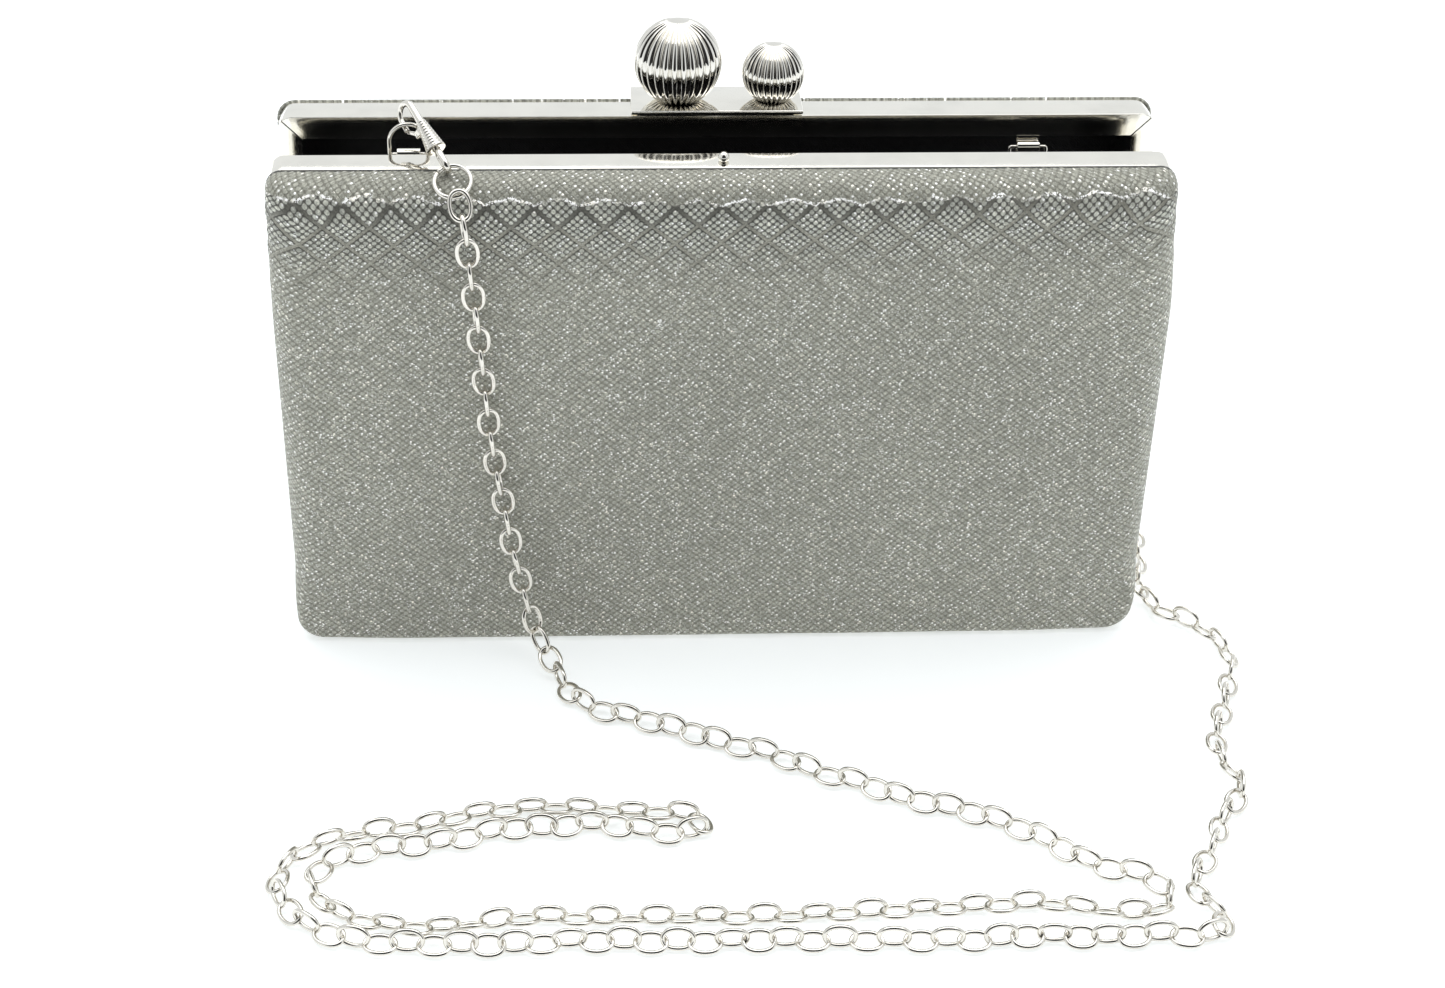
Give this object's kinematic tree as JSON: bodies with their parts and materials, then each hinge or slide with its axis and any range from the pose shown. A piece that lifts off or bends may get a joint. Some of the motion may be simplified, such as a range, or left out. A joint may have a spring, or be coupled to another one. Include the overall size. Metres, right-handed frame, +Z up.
{
  "type": "box clutch evening bag",
  "caption": "Hard box clutch in two fabric-covered shells with metal frames, bottom hinge, knobbed clasp plate, ring tabs and a detachable cable-chain strap with swivel snap hooks.",
  "frame": {"origin": "middle of the case's footprint on the table it stands on, without the strap", "axes": "+X along the case to its right seen from the front, +Y to the rear half, +Z up; the front half is at -Y"},
  "size_m": [0.2379, 0.2172, 0.1546],
  "materials": {
    "nickel": "polished nickel plate",
    "glitter_fabric": "silver glitter mesh with embossed diamonds",
    "lining": "black woven lining",
    "padding": "thin foam",
    "board": "moulded fibre board"
  },
  "bodies": {
    "front_half": {"front_frame": "nickel", "front_shell": "board", "front_padding": "padding", "front_cover": "glitter_fabric", "front_lining": "lining", "front_hinge_leaves": "nickel", "hinge_pins": "nickel", "front_hinge_rivets": "nickel", "catch_bead": "nickel", "left_ring_tab": "nickel", "near_hook_eye": "nickel", "near_jump_ring": "nickel", "strap_chain": "nickel", "far_jump_ring": "nickel", "far_hook_eye": "nickel"},
    "rear_half": {"rear_frame": "nickel", "rear_shell": "board", "rear_padding": "padding", "rear_cover": "glitter_fabric", "rear_lining": "lining", "rear_hinge_leaves": "nickel", "rear_hinge_rivets": "nickel", "clasp_plate": "nickel", "plate_spacer": "nickel", "large_knob": "nickel", "small_knob": "nickel", "knob_studs": "nickel", "right_ring_tab": "nickel"},
    "left_ring": {"left_d_ring": "nickel"},
    "right_ring": {"right_d_ring": "nickel"},
    "near_hook": {"near_hook_body": "nickel", "near_gate_pin": "nickel"},
    "near_gate": {"near_hook_gate": "nickel"},
    "far_hook": {"far_hook_body": "nickel", "far_gate_pin": "nickel"},
    "far_gate": {"far_hook_gate": "nickel"}
  },
  "joints": [
    {"name": "case_hinge", "type": "hinge", "parent": "front_half", "child": "rear_half", "pos_m": [0, 0, 0.00146], "axis": [-1, 0, 0], "range_deg": [-6.5, 50]},
    {"name": "left_d_ring_hinge", "type": "hinge", "parent": "front_half", "child": "left_ring", "pos_m": [-0.073, -0.00768, 0.13205], "axis": [1, 0, 0], "range_deg": [-2, 2]},
    {"name": "right_d_ring_hinge", "type": "hinge", "parent": "rear_half", "child": "right_ring", "pos_m": [0.0745, 0.00877, 0.12505], "axis": [1, 0, 0], "range_deg": [-60, 60]},
    {"name": "near_hook_swivel", "type": "hinge", "parent": "front_half", "child": "near_hook", "pos_m": [-0.0661, -0.016, 0.13746], "axis": [-0.4532, 0.7518, 0.479], "range_deg": [-6, 2]},
    {"name": "near_gate_hinge", "type": "hinge", "parent": "near_hook", "child": "near_gate", "pos_m": [-0.06995, -0.01085, 0.13867], "axis": [0.7415, 0.6161, -0.2656], "range_deg": [0, 11], "stiffness_Nm_per_rad": 0.002, "springref_deg": -20.05},
    {"name": "far_hook_swivel", "type": "hinge", "parent": "front_half", "child": "far_hook", "pos_m": [0.0725, 0.0723, 0.00225], "axis": [-1, 0, 0], "continuous": true},
    {"name": "far_gate_hinge", "type": "hinge", "parent": "far_hook", "child": "far_gate", "pos_m": [0.0663, 0.0744, 0.00225], "axis": [0, 0, 1], "range_deg": [0, 16], "stiffness_Nm_per_rad": 0.002, "springref_deg": -20.05}
  ]
}
